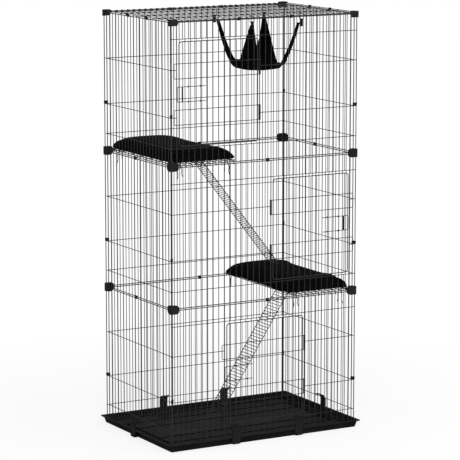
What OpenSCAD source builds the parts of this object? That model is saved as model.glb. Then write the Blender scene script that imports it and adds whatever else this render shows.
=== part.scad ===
// Three-storey wire cage for cats, standing in a tray. Millimetres, +Z up, front towards -Y.
// The origin is the middle of the tray's underside. Each storey is a box of four welded
// wire panels; corner joints and clips hold the panels together, and the storeys stack.

/* [Cage] */
// Width between the edge wires of a front or back panel
cage_w = 900; // [840:10:1000]
// Depth between the front and back panels
cage_d = 600; // [560:10:700]
// Height of one storey
storey_h = 600; // [580:10:680]
// Gaps between the upright wires of a front or back panel
front_gaps = 32; // [30:2:34]
// Gaps between the upright wires of a side panel
side_gaps = 21; // [19:2:23]
// Height of the lowest cross wire above its storey's bottom
low_wire_z = 74; // [70:1:80]
// Height of the second cross wire above its storey's bottom
second_wire_z = 203; // [198:1:212]
// Height of the third cross wire above its storey's bottom
third_wire_z = 400; // [385:1:405]
// Height of the wire over a door opening above its storey's bottom
lintel_z = 527; // [515:1:545]
// How far a side panel stands in from the front panel's edge wire
side_inset = 8; // [7.5:0.5:10]

/* [Wires] */
// Diameter of the infill wires
wire_d = 3; // [2.6:0.1:3.4]
// Diameter of the rails and the edge wires
rail_d = 4; // [3.6:0.1:4.6]
// How deep two crossing wires are welded into each other
weld = 0.4; // [0.3:0.05:0.6]
// Distance between the facing rails of two stacked panels
rail_gap = 7; // [6.6:0.1:8]

/* [Doors] */
// Gaps of the panel that one door opening takes
door_gaps = 14; // [12:2:14]
// Space between a door's frame and the wires around its opening
door_margin = 10.5; // [9:0.5:12]
// Radius of the door frame's corners
door_corner_r = 12; // [8:1:16]
// Distance between the two wires of a hairpin bar
hairpin_h = 62; // [54:1:66]
// Height of the lower hairpin bar's middle above its storey's bottom
hairpin_low_z = 205; // [200:1:212]
// Height of the upper hairpin bar's middle above its storey's bottom
hairpin_high_z = 396; // [388:1:402]
// How far a hairpin bar reaches past the opening's edge wire
stop_reach = 14; // [10:1:18]
// Distance between the two legs of the slide bolt
bolt_h = 62; // [50:1:66]
// Height of the bolt's middle above its storey's bottom
bolt_z = 299; // [295:1:305]
// Travel of the bolt, from drawn back to locked
bolt_travel = 20; // [16:1:22]
// Outer diameter of the plastic grip on the bolt
grip_d = 6; // [5.4:0.1:7]
// Outer diameter of the plastic sleeves on the hinge wire
sleeve_d = 9; // [8:0.1:10]

/* [Joints and clips] */
// Length of a corner joint's arm along its panel
arm_l = 34; // [28:1:40]
// Height of a corner joint
joint_h = 36; // [30:1:42]
// Radius at the free end of a corner joint's arm
arm_r = 12; // [8:1:14]
// Thickness of the corner joints' walls
skin = 3.4; // [2.6:0.2:4.2]
// Length of the small clips along their wire
clip_l = 12; // [9:1:15]
// Clearance between a moulded piece and the wire that it holds
fit = 0.3; // [0.2:0.05:0.4]

/* [Tray] */
// Height of the tray
tray_h = 31; // [28:1:36]
// How far the tray's wall leans outwards
wall_lean = 12; // [9:1:15]
// Width of the tray's lip
lip_w = 9; // [6:1:12]
// Thickness of the tray's sheet
sheet = 2.5; // [2:0.1:3]
// Height of the raised floor
field_h = 10; // [9:0.5:12]
// Width of the channel that the panels stand in
channel_w = 26; // [24:1:34]
// Width of the grooves in the raised floor
groove_w = 18; // [12:0.5:22]
// Distance of the outer long grooves from the middle
groove_far = 190; // [160:5:210]
// Distance of the inner long grooves from the middle
groove_near = 96; // [80:2:110]
// Height of the cage's bottom above the ground
cage_lift = 7; // [6.5:0.5:9]

/* [Tray latches] */
// Width of a tray latch
latch_w = 38; // [34:1:44]
// Width of the finger that reaches over the wire
finger_w = 16; // [12:1:20]
// Thickness of a tray latch
latch_t = 4.5; // [4:0.1:5]
// Radius of the latch's outer bend
latch_r = 28; // [25:1:30]
// Diameter of the latch's pivot pin
latch_pin_d = 4; // [3.6:0.1:4.4]
// Height of the pivot pin above the ground
latch_pin_z = 9; // [8:0.5:11]

/* [Shelves] */
// Gaps of the front panel that a shelf is wide
shelf_gaps = 11; // [10:1:12]
// Thickness of a cushion at its crown
cushion_t = 51; // [40:1:56]
// Height of the cushion's seam
cushion_seam = 2.5; // [2:0.5:6]
// How far a cushion reaches past the inner edge wire of its shelf
cushion_over = 16.5; // [8:0.5:18]
// How far the cushion's sides pull in between its corners
cushion_pull = 2.5; // [1:0.5:6]
// How far the cushion's corners are rounded off
cushion_cut = 10; // [6:1:14]
// Diameter of the tie strings
tie_d = 3; // [2:0.1:3.5]

/* [Ladders] */
// Width of a ladder
ladder_w = 100; // [98:1:110]
// Distance between two rungs
rung_pitch = 13.5; // [12:0.5:20]
// Distance from a shelf's edge wire to the foot of its ladder, level
upper_run = 435; // [420:5:445]
// The same for the lower ladder
lower_run = 404; // [380:4:420]

/* [Hammock] */
// Height of the hammock's lowest point under the top panel's wires
hammock_drop = 235; // [205:5:265]
// Height of the hammock's rim over its lowest point
hammock_rim = 20; // [12:2:30]
// Thickness of the cloth
cloth_t = 2.4; // [2:0.1:3]
// Width of the straps
strap_w = 10; // [8:1:11]
// Length of the straps below their hooks
strap_l = 20; // [14:1:26]

/* [Hidden] */
eps = 0.01;
round_fn = 48;

wire_black = "#282828";
plastic_black = "#252525";
tray_black = "#272727";
cloth_black = "#0e0e0e";

// Wire sizes that follow from the diameters
wire_r = wire_d / 2;
rail_r = rail_d / 2;
front_pitch = cage_w / front_gaps;
side_w = cage_d - 2 * side_inset;
side_pitch = side_w / side_gaps;
side_x = cage_w / 2 - side_inset;
front_y = cage_d / 2;
wire_off = 2 * wire_r - weld;
rail_off = wire_r + rail_r - weld;
panel_lo = rail_gap / 2 - rail_r;
panel_hi = storey_h - panel_lo;
panel_depth_in = rail_off + rail_r;
play = 0.35;
snug = 0.05;

// Door sizes
door_w = door_gaps * front_pitch;
door_lo = low_wire_z + door_margin;
door_hi = lintel_z - door_margin;
ring_r = rail_r + play + wire_r;
leg_line = -ring_r;
bar_line = leg_line + wire_off;
bolt_line = bar_line + rail_r + play + grip_d / 2;
bolt_back = 5;
bolt_bar_x = 24;
bolt_len = 4 * front_pitch + 6.5 + bolt_travel - bolt_back;
eye_wire = 2;
eye_r = bolt_line - bar_line - wire_r + weld - eye_wire / 2;
bend_r = 6;
lower_col = (front_gaps - door_gaps) / 2;
middle_col = front_gaps - 1 - door_gaps;
upper_col = 1;

// Corner joint sizes, from the corner of the front panel's plane and the edge wires
slot_out = rail_r + fit;
slot_in = panel_depth_in + fit;
web = panel_lo - fit;
cap_low = sheet + fit;

// Tray sizes
tray_x = cage_w / 2 + 3;
tray_y = cage_d / 2 + 3;
foot_step = 3;
field_x = tray_x - channel_w;
field_y = tray_y - channel_w;
groove_end = field_x - 20;
latch_n = wall_lean + lip_w + latch_t;
barrel_r = latch_pin_d / 2 + 2.5;
lug_t = 4;
lug_r = 4;
lug_start = foot_step + 1;
barrel_w = latch_w - 2 * lug_t - 2 * fit - 4;
latch_gap = 10.5;
finger_t = 3;
lip_t = 1.5;
lip_drop = 0.7;

// Shelf sizes
deck_z = rail_gap / 2 + rail_r + fit + wire_r;
deck_top = deck_z + wire_off + wire_r;
shelf_out_x = cage_w / 2 - 20;
shelf_in_x = cage_w / 2 - shelf_gaps * front_pitch;
shelf_end_y = cage_d / 2 - 14;
hook_bend = 3.5;
deck_hook = 15;
side_hook = 8;
cushion_out = shelf_out_x + 5.5;
cushion_in = shelf_in_x - cushion_over;
cushion_a = (cushion_out - cushion_in) / 2;
cushion_b = cage_d / 2 - 9.5;
cushion_x = (cushion_out + cushion_in) / 2;
cushion_z = deck_top + 0.9;
tie_in = 32;
ladder_y = 4.5 * side_pitch;
lower_ladder_y = -7.5 * side_pitch;

// Top panel and hammock sizes
top_z = cage_lift + 3 * storey_h;
top_rail_z = top_z - panel_lo + fit + rail_r;
top_wire_z = top_rail_z + rail_off;
hook_wire = 2.5;
hook_w = 20;
hook_l = 26;
hook_top = top_wire_z + wire_r + fit + hook_wire / 2;
strap_t = 2;
loop_r = hook_wire / 2 + fit + strap_t;
strap_lap = 6;
cloth_top = hook_top - hook_l - loop_r - strap_l;

// Uprights and other long straight wires are round. Wires that cross them or that bend have
// eight flats, so that a bend's end meets a straight wire's end face to face.
module octagon(d) rotate(22.5) circle(d = d / cos(22.5), $fn = 8);
module bar_x(l, d) rotate([0, 90, 0]) linear_extrude(l) octagon(d);
module bar_y(l, d) rotate([-90, 0, 0]) linear_extrude(l) octagon(d);
module bar_z(l, d) linear_extrude(l) octagon(d);
module rod_x(l, d) rotate([0, 90, 0]) cylinder(d = d, h = l, $fn = round_fn);
module rod_y(l, d) rotate([-90, 0, 0]) cylinder(d = d, h = l, $fn = round_fn);
module rod_z(l, d) cylinder(d = d, h = l, $fn = round_fn);
module section(d, round) if (round) circle(d = d, $fn = round_fn); else octagon(d);
module wire_bend(r, angle, d, round = false)
    rotate_extrude(angle = angle, $fn = round_fn) translate([r, 0]) section(d, round);
module wire_ring(r, d) rotate_extrude($fn = round_fn) translate([r, 0]) octagon(d);

// A closed rounded rectangle of wire in the XZ plane, from its lower left corner's centre line
module wire_frame(w, h, r, d) {
    for (z = [0, h]) translate([r, 0, z]) bar_x(w - 2 * r, d);
    for (x = [0, w]) translate([x, 0, r]) bar_z(h - 2 * r, d);
    for (c = [[r, r, 180], [w - r, r, 270], [w - r, h - r, 0], [r, h - r, 90]])
        translate([c[0], 0, c[1]]) rotate([90, 0, 0]) rotate(c[2]) wire_bend(r, 90, d);
}

// A hairpin in the XZ plane: two legs that run to x = l and a closed end there
module hairpin(l, h, r, d) {
    for (z = [-h / 2, h / 2]) translate([0, 0, z]) bar_x(l - r, d);
    translate([l, 0, r - h / 2]) bar_z(h - 2 * r, d);
    translate([l - r, 0, r - h / 2]) rotate([90, 0, 0]) rotate(-90) wire_bend(r, 90, d);
    translate([l - r, 0, h / 2 - r]) rotate([90, 0, 0]) wire_bend(r, 90, d);
}

// The end of a wire that runs along x: it bends down at the origin and ends drop below
module down_hook(r, drop, d, round = false) {
    translate([0, 0, -r]) rotate([90, 0, 0]) wire_bend(r, 90, d, round);
    translate([r, 0, -drop]) linear_extrude(drop - r) section(d, round);
}

// A rectangle with round corners, centred
module round_rect(x, y, r) {
    square([x, y - 2 * r], center = true);
    square([x - 2 * r, y], center = true);
    for (sx = [-1, 1], sy = [-1, 1])
        translate([sx * (x / 2 - r), sy * (y / 2 - r)]) circle(r, $fn = round_fn);
}

// A rectangle from the origin, round at the two corners of its far end
module tongue(l, h, r) {
    square([l - r, h]);
    translate([0, r]) square([l, h - 2 * r]);
    for (y = [r, h - r]) translate([l - r, y]) circle(r, $fn = round_fn);
}

// A welded panel in its own plane: x along it, y towards its cross wires, z up
module plain_panel(w, gaps) {
    for (i = [0 : gaps]) {
        d = (i == 0 || i == gaps) ? rail_d : wire_d;
        translate([-w / 2 + i * w / gaps, 0, panel_lo]) rod_z(panel_hi - panel_lo, d);
    }
    for (z = [rail_gap / 2, storey_h - rail_gap / 2])
        translate([-w / 2 - rail_r, rail_off, z]) bar_x(w + 2 * rail_r, rail_d);
    for (z = [low_wire_z, second_wire_z, third_wire_z])
        translate([-w / 2 - rail_r, wire_off, z]) bar_x(w + 2 * rail_r, wire_d);
}

// A front panel has an opening whose edge wires are the uprights col and col + door_gaps
module door_panel(col) {
    last = col + door_gaps;
    left_x = -cage_w / 2 + col * front_pitch;
    right_x = left_x + door_w;
    for (i = [0 : front_gaps]) {
        x = -cage_w / 2 + i * front_pitch;
        stout = i == 0 || i == front_gaps || i == col || i == last;
        if (i > col && i < last) {
            translate([x, 0, panel_lo]) rod_z(low_wire_z + wire_r - panel_lo, wire_d);
            translate([x, 0, lintel_z - wire_r]) rod_z(panel_hi - lintel_z + wire_r, wire_d);
        } else {
            translate([x, 0, panel_lo]) rod_z(panel_hi - panel_lo, stout ? rail_d : wire_d);
        }
    }
    for (z = [rail_gap / 2, storey_h - rail_gap / 2])
        translate([-cage_w / 2 - rail_r, rail_off, z]) bar_x(cage_w + 2 * rail_r, rail_d);
    for (z = [low_wire_z, lintel_z])
        translate([-cage_w / 2 - rail_r, wire_off, z]) bar_x(cage_w + 2 * rail_r, wire_d);
    for (z = [second_wire_z, third_wire_z]) {
        translate([-cage_w / 2 - rail_r, wire_off, z])
            bar_x(left_x + cage_w / 2 + rail_r, wire_d);
        translate([right_x, wire_off, z]) bar_x(cage_w / 2 + rail_r - right_x, wire_d);
    }
}

module front_panel(storey, col)
    color(wire_black) translate([0, -front_y, cage_lift + storey * storey_h]) door_panel(col);
module back_panel(storey)
    color(wire_black) translate([0, front_y, cage_lift + storey * storey_h])
        rotate(180) plain_panel(cage_w, front_gaps);
// A side panel has its cross wires outside
module side_panel(storey, side)
    color(wire_black) translate([side * side_x, 0, cage_lift + storey * storey_h])
        rotate(-90 * side) plain_panel(side_w, side_gaps);

// The top panel lies on the upper rails, its long wires running front to back
module top_panel() color(wire_black) {
    half = cage_d / 2 - 1;
    for (i = [0 : front_gaps])
        translate([-cage_w / 2 + i * front_pitch, -half - rail_r, top_wire_z])
            rod_y(2 * half + 2 * rail_r, wire_d);
    for (y = [-half, half])
        translate([-cage_w / 2 - wire_r, y, top_rail_z]) bar_x(cage_w + 2 * wire_r, rail_d);
    for (k = [-1 : 1])
        translate([-cage_w / 2 - wire_r, k * half / 2, top_wire_z - wire_off])
            bar_x(cage_w + 2 * wire_r, wire_d);
}

// A door drawn from its hinge wire at x = 0 towards its free edge. The hairpin bars' ends
// curl round the hinge wire, and small eyes behind the uprights guide the bolt.
module door_wires() {
    w = door_w - 2 * door_margin;
    translate([door_margin, bar_line, door_lo])
        wire_frame(w, door_hi - door_lo, door_corner_r, rail_d);
    for (i = [1 : door_gaps - 1])
        translate([i * front_pitch, bar_line, door_lo]) rod_z(door_hi - door_lo, wire_d);
    for (zc = [hairpin_low_z, hairpin_high_z]) {
        translate([0, leg_line, zc]) hairpin(door_w + stop_reach, hairpin_h, bend_r, wire_d);
        for (dz = [-1, 1]) translate([0, 0, zc + dz * hairpin_h / 2])
            wire_bend(ring_r, 270, wire_d);
    }
    for (i = [2, 4], dz = [-1, 1])
        translate([door_w - i * front_pitch, bolt_line, bolt_z + dz * bolt_h / 2])
            rotate([0, 90, 0]) wire_ring(eye_r, eye_wire);
}

// The slide bolt: a hairpin with a bar between its legs, drawn back
module bolt_wires() {
    nose = door_w - bolt_back;
    translate([nose - bolt_len, bolt_line, bolt_z]) hairpin(bolt_len, bolt_h, bend_r, wire_d);
    translate([nose - bolt_bar_x, bolt_line, bolt_z - bolt_h / 2]) rod_z(bolt_h, wire_d);
}

// The grip is a tube on the bolt's bar
module grip_tube() {
    l = bolt_h - wire_d - 2 * fit;
    translate([door_w - bolt_back - bolt_bar_x, bolt_line, bolt_z - l / 2]) difference() {
        cylinder(d = grip_d, h = l, $fn = round_fn);
        translate([0, 0, -1]) cylinder(r = wire_r + fit, h = l + 2, $fn = round_fn);
    }
}

// Two split sleeves on the hinge wire, each between the two rings of a hairpin bar.
// The panel's short cross wire passes through the split.
module hinge_sleeves() {
    l = hairpin_h - wire_d - 2 * fit;
    difference() {
        for (zc = [hairpin_low_z, hairpin_high_z]) translate([0, 0, zc - l / 2]) difference() {
            cylinder(d = sleeve_d, h = l, $fn = round_fn);
            translate([0, 0, -1]) cylinder(r = rail_r + snug, h = l + 2, $fn = round_fn);
        }
        for (z = [second_wire_z, third_wire_z])
            translate([-sleeve_d, wire_off - wire_r - fit, z - wire_r - fit])
                cube([sleeve_d + rail_r, sleeve_d, wire_d + 2 * fit]);
    }
}

// Places a door's pieces: side 1 has its hinge at the opening's left, side -1 at its right
module at_door(storey, col, side) {
    x = -cage_w / 2 + (col + (side < 0 ? door_gaps : 0)) * front_pitch;
    translate([x, -front_y, cage_lift + storey * storey_h])
        if (side > 0) children(); else mirror([1, 0, 0]) children();
}
module door(storey, col, side) color(wire_black) at_door(storey, col, side) door_wires();
module sleeves(storey, col, side) color(plastic_black) at_door(storey, col, side) hinge_sleeves();
module bolt(storey, col, side) color(wire_black) at_door(storey, col, side) bolt_wires();
module grip(storey, col, side) color(plastic_black) at_door(storey, col, side) grip_tube();

// Puts children at the four corners, drawn for the corner at -X -Y
module at_corners()
    for (sx = [0, 1], sy = [0, 1])
        mirror([sx, 0, 0]) mirror([0, sy, 0]) translate([-cage_w / 2, -cage_d / 2, 0]) children();

// Plan of a corner piece: x and y run inwards from the front panel's edge wire
module corner_plan(out) {
    side_out = side_inset - slot_in - skin;
    polygon([[-out, -out], [arm_l, -out], [arm_l, slot_in + skin], [side_inset + slot_out + skin,
             slot_in + skin], [side_inset + slot_out + skin, arm_l], [side_out, arm_l],
             [side_out, arm_l / 2], [-out, arm_r / 2]]);
}

// The two slots of a corner piece, for the front or back panel and for the side panel
module corner_slots(h) {
    translate([-slot_out, -slot_out, 0]) cube([arm_l + 2 * slot_out, slot_out + slot_in, h]);
    translate([side_inset - slot_in, slot_in - eps, 0])
        cube([slot_in + slot_out, arm_l, h]);
}

// A corner piece between two heights, its arms' free ends rounded
module corner_piece(z0, z1, out) {
    h = z1 - z0;
    translate([0, 0, z0]) intersection() {
        linear_extrude(h) corner_plan(out);
        union() {
            translate([-out, slot_in + skin, 0]) rotate([90, 0, 0])
                linear_extrude(slot_in + skin + out)
                    tongue(arm_l + out, h, min(arm_r, h / 2 - 0.5));
            translate([-out, -out, 0]) rotate([90, 0, 90])
                linear_extrude(side_inset + slot_out + skin + out)
                    tongue(arm_l + out, h, min(arm_r, h / 2 - 0.5));
        }
    }
}

joint_out = slot_out + skin;
cap_out = rail_r + 1;

module corner_joints(level) color(plastic_black)
    translate([0, 0, cage_lift + level * storey_h]) at_corners() difference() {
        corner_piece(-joint_h / 2, joint_h / 2, joint_out);
        translate([0, 0, web]) corner_slots(joint_h);
        translate([0, 0, -web - joint_h]) corner_slots(joint_h);
    }

// The bottom caps stand in the tray's channel and carry the cage
module bottom_corner_caps() color(plastic_black) at_corners() difference() {
    corner_piece(cap_low, cage_lift + joint_h / 2, cap_out);
    translate([0, 0, cage_lift + web]) corner_slots(joint_h);
}

// The top caps hold the upper panels' corners from outside and cover the top panel's corners
module top_corner_caps() color(plastic_black) translate([0, 0, top_z]) at_corners() {
    cover = top_wire_z + wire_r + fit - top_z;
    difference() {
        corner_piece(-joint_h / 2, cover + skin, joint_out);
        translate([-slot_out, -slot_out, -joint_h]) cube([2 * arm_l, 2 * arm_l, joint_h + cover]);
    }
}

// A bar with round ends about the points a and b, each end in flats of 15 degrees
module capsule(a, b, r) {
    t = atan2(b[1] - a[1], b[0] - a[0]);
    polygon([for (k = [0 : 12]) b + r * [cos(t - 90 + 15 * k), sin(t - 90 + 15 * k)],
             for (k = [0 : 12]) a + r * [cos(t + 90 + 15 * k), sin(t + 90 + 15 * k)]]);
}

// A small clip ties the two edge wires at each corner, over the second cross wire
module corner_clips() color(plastic_black)
    for (storey = [0 : 2])
        translate([0, 0, cage_lift + storey * storey_h + second_wire_z + wire_r + fit])
            at_corners() linear_extrude(clip_l) difference() {
                hole = rail_r + snug;
                a = [0, 0];
                b = [side_inset, side_inset];
                capsule(a, b, hole + 1.8);
                for (p = [a, b]) translate(p) circle(hole, $fn = round_fn);
            }

// A clip round two rails, the upper one rise higher and shift further along y
module rail_clip(rise, shift) {
    hole = rail_r / cos(22.5) + fit;
    low = [0, -rise / 2];
    high = [shift, rise / 2];
    rotate([90, 0, 90]) linear_extrude(clip_l, center = true) difference() {
        capsule(low, high, hole + 2);
        for (p = [low, high]) translate(p) circle(hole, $fn = round_fn);
    }
}

// Clips round the two rails where panels stand on one another
module joint_clips() color(plastic_black)
    for (level = [1, 2]) translate([0, 0, cage_lift + level * storey_h]) for (s = [-1, 1]) {
        translate([front_pitch / 2, s * (front_y - rail_off), 0]) rail_clip(rail_gap, 0);
        translate([s * (side_x + rail_off), side_pitch, 0]) rotate(90) rail_clip(rail_gap, 0);
    }

// Clips round the top panel's edge and the upper panels' rails, a third along each side
module top_clips() color(plastic_black) {
    low = top_z - rail_gap / 2;
    rise = top_rail_z - low;
    front_x = (round(front_gaps / 3) + 0.5) * front_pitch - cage_w / 2;
    for (sx = [-1, 1], sy = [-1, 1])
        translate([sx * front_x, sy * (front_y - rail_off), low + rise / 2])
            rail_clip(rise, sy * (rail_off - 1));
    side_y = (round(side_gaps / 3) + 0.5) * side_pitch - side_w / 2;
    for (sx = [-1, 1], sy = [-1, 1])
        translate([sx * (side_x + rail_off), sy * side_y, low + (top_wire_z - low) / 2])
            rotate(90) rail_clip(top_wire_z - low,
                -sx * (cage_w / 2 - side_x - rail_off));
}

// A flat plate with round corners, for the tray's walls
module tray_plate(grow, z, r)
    translate([0, 0, z]) linear_extrude(eps)
        round_rect(2 * (tray_x + grow), 2 * (tray_y + grow), r);

module tray_cup(inset, z0) hull() {
    tray_plate(foot_step - inset, z0, 1);
    tray_plate(wall_lean - inset, tray_h - eps, 9);
}

// The tray: leaning walls with a lip, a channel for the panels and a ribbed, raised floor
module base_tray() color(tray_black) {
    difference() {
        union() {
            difference() {
                hull() {
                    tray_plate(0, 0, 6);
                    tray_plate(foot_step, 1.5, 6);
                    tray_plate(wall_lean, tray_h - eps, 9);
                }
                tray_cup(sheet, sheet);
            }
            linear_extrude(field_h) square([2 * field_x, 2 * field_y], center = true);
            translate([0, 0, tray_h - sheet]) linear_extrude(sheet) difference() {
                round_rect(2 * (tray_x + wall_lean + lip_w), 2 * (tray_y + wall_lean + lip_w), 12);
                round_rect(2 * (tray_x + wall_lean) - 2, 2 * (tray_y + wall_lean) - 2, 8);
            }
        }
        translate([0, 0, sheet]) linear_extrude(field_h) floor_grooves(groove_w);
        translate([0, 0, -1]) linear_extrude(field_h - sheet + 1) difference() {
            square([2 * (field_x - sheet), 2 * (field_y - sheet)], center = true);
            floor_grooves(groove_w + 2 * sheet);
        }
    }
    at_latches() latch_seat();
}

// Plan of the floor's grooves: a frame with two long grooves across it
module floor_grooves(w) {
    for (y = [-groove_far, -groove_near, groove_near, groove_far])
        translate([-groove_end - w / 2, y - w / 2]) square([2 * groove_end + w, w]);
    for (x = [-groove_end, groove_end])
        translate([x - w / 2, -groove_far - w / 2]) square([w, 2 * groove_far + w]);
}

// A tray latch's place: y runs outwards from the tray's foot, x along its edge
module at_latch(i) {
    front_x = latch_gap * front_pitch - cage_w / 2;
    places = [[front_x, -tray_y, 180], [-front_x, -tray_y, 180], [front_x, tray_y, 0],
              [-front_x, tray_y, 0], [-tray_x, 0, 90], [tray_x, 0, -90]];
    translate([places[i][0], places[i][1], 0]) rotate(places[i][2]) children();
}
module at_latches() for (i = [0 : 5]) at_latch(i) children();

// Two lugs on the tray's wall and the pin between them
module latch_seat() {
    for (s = [-1, 1]) translate([s * (barrel_w / 2 + fit + lug_t / 2), 0, 0])
        translate([-lug_t / 2, lug_start, latch_pin_z - lug_r])
            cube([lug_t, latch_n - lug_start, 2 * lug_r]);
    for (s = [-1, 1]) translate([s * (barrel_w / 2 + fit + lug_t / 2), latch_n, latch_pin_z])
        rotate([0, 90, 0]) cylinder(r = lug_r, h = lug_t, center = true, $fn = round_fn);
    translate([0, latch_n, latch_pin_z]) rotate([0, 90, 0])
        cylinder(d = latch_pin_d, h = barrel_w + 2 * fit + lug_t, center = true, $fn = round_fn);
}

// Side view of a tray latch: x outwards from the tray's foot, y up. The arm rises outside
// the lip, bends inwards and ends in a finger over the panel's lowest cross wire.
module latch_profile(wire_n) {
    outer = latch_n + latch_t / 2;
    under = cage_lift + low_wire_z + wire_r + fit;
    top = under + finger_t;
    lip = wire_n - wire_r - fit - lip_t;
    translate([latch_n, latch_pin_z]) circle(barrel_r, $fn = round_fn);
    translate([outer - latch_t, latch_pin_z]) square([latch_t, top - latch_r - latch_pin_z]);
    intersection() {
        translate([outer - latch_r, top - latch_r]) difference() {
            circle(latch_r, $fn = 2 * round_fn);
            translate([finger_t - latch_t, 0]) circle(latch_r - finger_t, $fn = 2 * round_fn);
        }
        translate([outer - latch_r, top - latch_r]) square(latch_r + 1);
    }
    translate([lip, under]) square([outer - latch_r - lip + 2, finger_t]);
    translate([lip, under - lip_drop]) square([lip_t, lip_drop + eps]);
}

// A tray latch: wide outside the panel, with one finger between two upright wires
module tray_latch(i, wire_n) color(plastic_black) at_latch(i) difference() {
    intersection() {
        rotate([90, 0, 90]) linear_extrude(latch_w, center = true) latch_profile(wire_n);
        linear_extrude(2 * storey_h) polygon([[-latch_w / 2, latch_n + barrel_r + 1],
            [-latch_w / 2, 8], [-finger_w / 2, 3], [-finger_w / 2, -30], [finger_w / 2, -30],
            [finger_w / 2, 3], [latch_w / 2, 8], [latch_w / 2, latch_n + barrel_r + 1]]);
    }
    for (s = [-1, 1])
        translate([s * (barrel_w / 2 + latch_w / 2), latch_n, latch_pin_z - barrel_r])
            cube([latch_w, 2 * barrel_r + latch_t, 4 * barrel_r], center = true);
    translate([0, latch_n, latch_pin_z]) rotate([0, 90, 0])
        cylinder(d = latch_pin_d + 0.16, h = latch_w + 2, center = true, $fn = round_fn);
}

// A wire shelf on the left: long wires hook over the front and back rails, and cross wires
// hook over the side panel's rail. side -1 is the left, 1 the right.
module shelf(level, side) color(wire_black)
    translate([0, 0, cage_lift + level * storey_h + deck_z])
        if (side < 0) shelf_grid(); else mirror([1, 0, 0]) shelf_grid();

module shelf_grid() {
    hook_y = front_y + rail_r + fit + wire_r;
    hook_x = side_x + rail_off + rail_r + fit + wire_r;
    for (x = [-shelf_out_x, -shelf_in_x])
        translate([x, -shelf_end_y - wire_r, 0]) bar_y(2 * shelf_end_y + wire_d, rail_d);
    for (i = [1.5 : shelf_gaps - 0.5]) translate([i * front_pitch - cage_w / 2, 0, 0]) {
        translate([0, hook_bend - hook_y, 0]) bar_y(2 * (hook_y - hook_bend), wire_d);
        for (a = [-90, 90])
            rotate(a) translate([hook_y - hook_bend, 0, 0]) down_hook(hook_bend, deck_hook, wire_d);
    }
    for (y = [-shelf_end_y, shelf_end_y])
        translate([-shelf_out_x - rail_r, y, wire_off])
            rod_x(shelf_out_x - shelf_in_x + 2 * rail_r, wire_d);
    for (k = [-9 : 3 : 9]) translate([hook_bend - hook_x, k * side_pitch, wire_off]) {
        rod_x(hook_x - hook_bend - shelf_in_x + rail_r, wire_d);
        rotate(180) down_hook(hook_bend, side_hook, wire_d, true);
    }
}

// Points of the two skins of a cushion on a grid of u and v from -1 to 1
function bias(i, n) = sin(90 * (2 * i / n - 1));
function cushion_side(v) = cushion_pull * (1 - pow(v, 2)) + cushion_cut * pow(v, 10);
function cushion_x_at(u, v) = u * (cushion_a - cushion_side(v));
function cushion_y_at(u, v) = v * (cushion_b - cushion_side(u));
function crown(u, v) = pow((1 - pow(abs(u), 3)) * (1 - pow(v, 10)), 0.4);
function cushion_hi(u, v) = cushion_seam + (cushion_t - cushion_seam) * crown(u, v);
function cushion_lo(u, v) = cushion_seam * (1 - pow((1 - pow(u, 8)) * (1 - pow(v, 12)), 0.7));

module cushion(level, side) {
    nu = 14;
    nv = 24;
    grid = [for (i = [0 : nu], j = [0 : nv]) [bias(i, nu), bias(j, nv)]];
    color(cloth_black)
        translate([side * cushion_x, 0, cage_lift + level * storey_h + cushion_z]) cushion_body(
            [for (g = grid) [cushion_x_at(g[0], g[1]), cushion_y_at(g[0], g[1]),
                             cushion_hi(g[0], g[1])]],
            [for (g = grid) [cushion_x_at(g[0], g[1]), cushion_y_at(g[0], g[1]),
                             cushion_lo(g[0], g[1])]], nu, nv);
}

// A quad's two triangles. The cut starts at the corner of a cushion, so that none of them has
// all its points on the seam.
function two_triangles(a, b, c, d, cut) = cut ? [[a, b, c], [a, c, d]] : [[a, b, d], [b, c, d]];

// The skins meet along the seam, where the edge points of both are the same
module cushion_body(top, low, nu, nv) {
    w = nv + 1;
    n = (nu + 1) * w;
    inner = [for (i = [1 : nu - 1], j = [1 : nv - 1]) low[i * w + j]];
    function low_at(i, j) = (i == 0 || i == nu || j == 0 || j == nv)
        ? i * w + j : n + (i - 1) * (nv - 1) + j - 1;
    faces = [for (i = [0 : nu - 1], j = [0 : nv - 1])
        let (a = i * w + j, cut = (2 * i < nu) == (2 * j < nv)) each concat(
            two_triangles(a, a + 1, a + w + 1, a + w, cut),
            two_triangles(low_at(i, j), low_at(i + 1, j), low_at(i + 1, j + 1),
                          low_at(i, j + 1), cut))];
    polyhedron(points = concat(top, inner), faces = faces, convexity = 4);
}

// A ladder in its own frame: x down the slope from the shelf's edge wire, z off the slope
module ladder_wires(l) {
    side = ladder_w / 2 - wire_r;
    rungs = floor((l - 16) / rung_pitch);
    for (y = [-side, side]) {
        translate([0, y, ring_r]) bar_x(l, wire_d);
        translate([0, y, 0]) rotate([90, 0, 0]) rotate(90) wire_bend(ring_r, 130, wire_d);
    }
    for (k = [0 : rungs])
        translate([10 + k * rung_pitch, -ladder_w / 2, ring_r + wire_off])
            rod_y(ladder_w, wire_d);
    translate([l - wire_r, -ladder_w / 2, ring_r + wire_off]) rod_y(ladder_w, wire_d);
}

// The ladder hangs on the shelf's edge wire and its foot stands at foot_z
module ladder(level, side, y, run, foot_z) {
    top = cage_lift + level * storey_h + deck_z;
    fall = top - foot_z;
    slope = ladder_angle(run, fall);
    color(wire_black) translate([side * shelf_in_x, y, top])
        if (side < 0) rotate([0, slope, 0]) ladder_wires(ladder_len(run, fall));
        else mirror([1, 0, 0]) rotate([0, slope, 0]) ladder_wires(ladder_len(run, fall));
}
// A ladder is as long as the line from its hooks to its foot, and a little steeper, since its
// wires lie above that line
function ladder_len(run, fall) = sqrt(run * run + fall * fall);
function ladder_angle(run, fall) = atan2(fall, run) + asin((ring_r - wire_r - fit) /
    ladder_len(run, fall));

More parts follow.
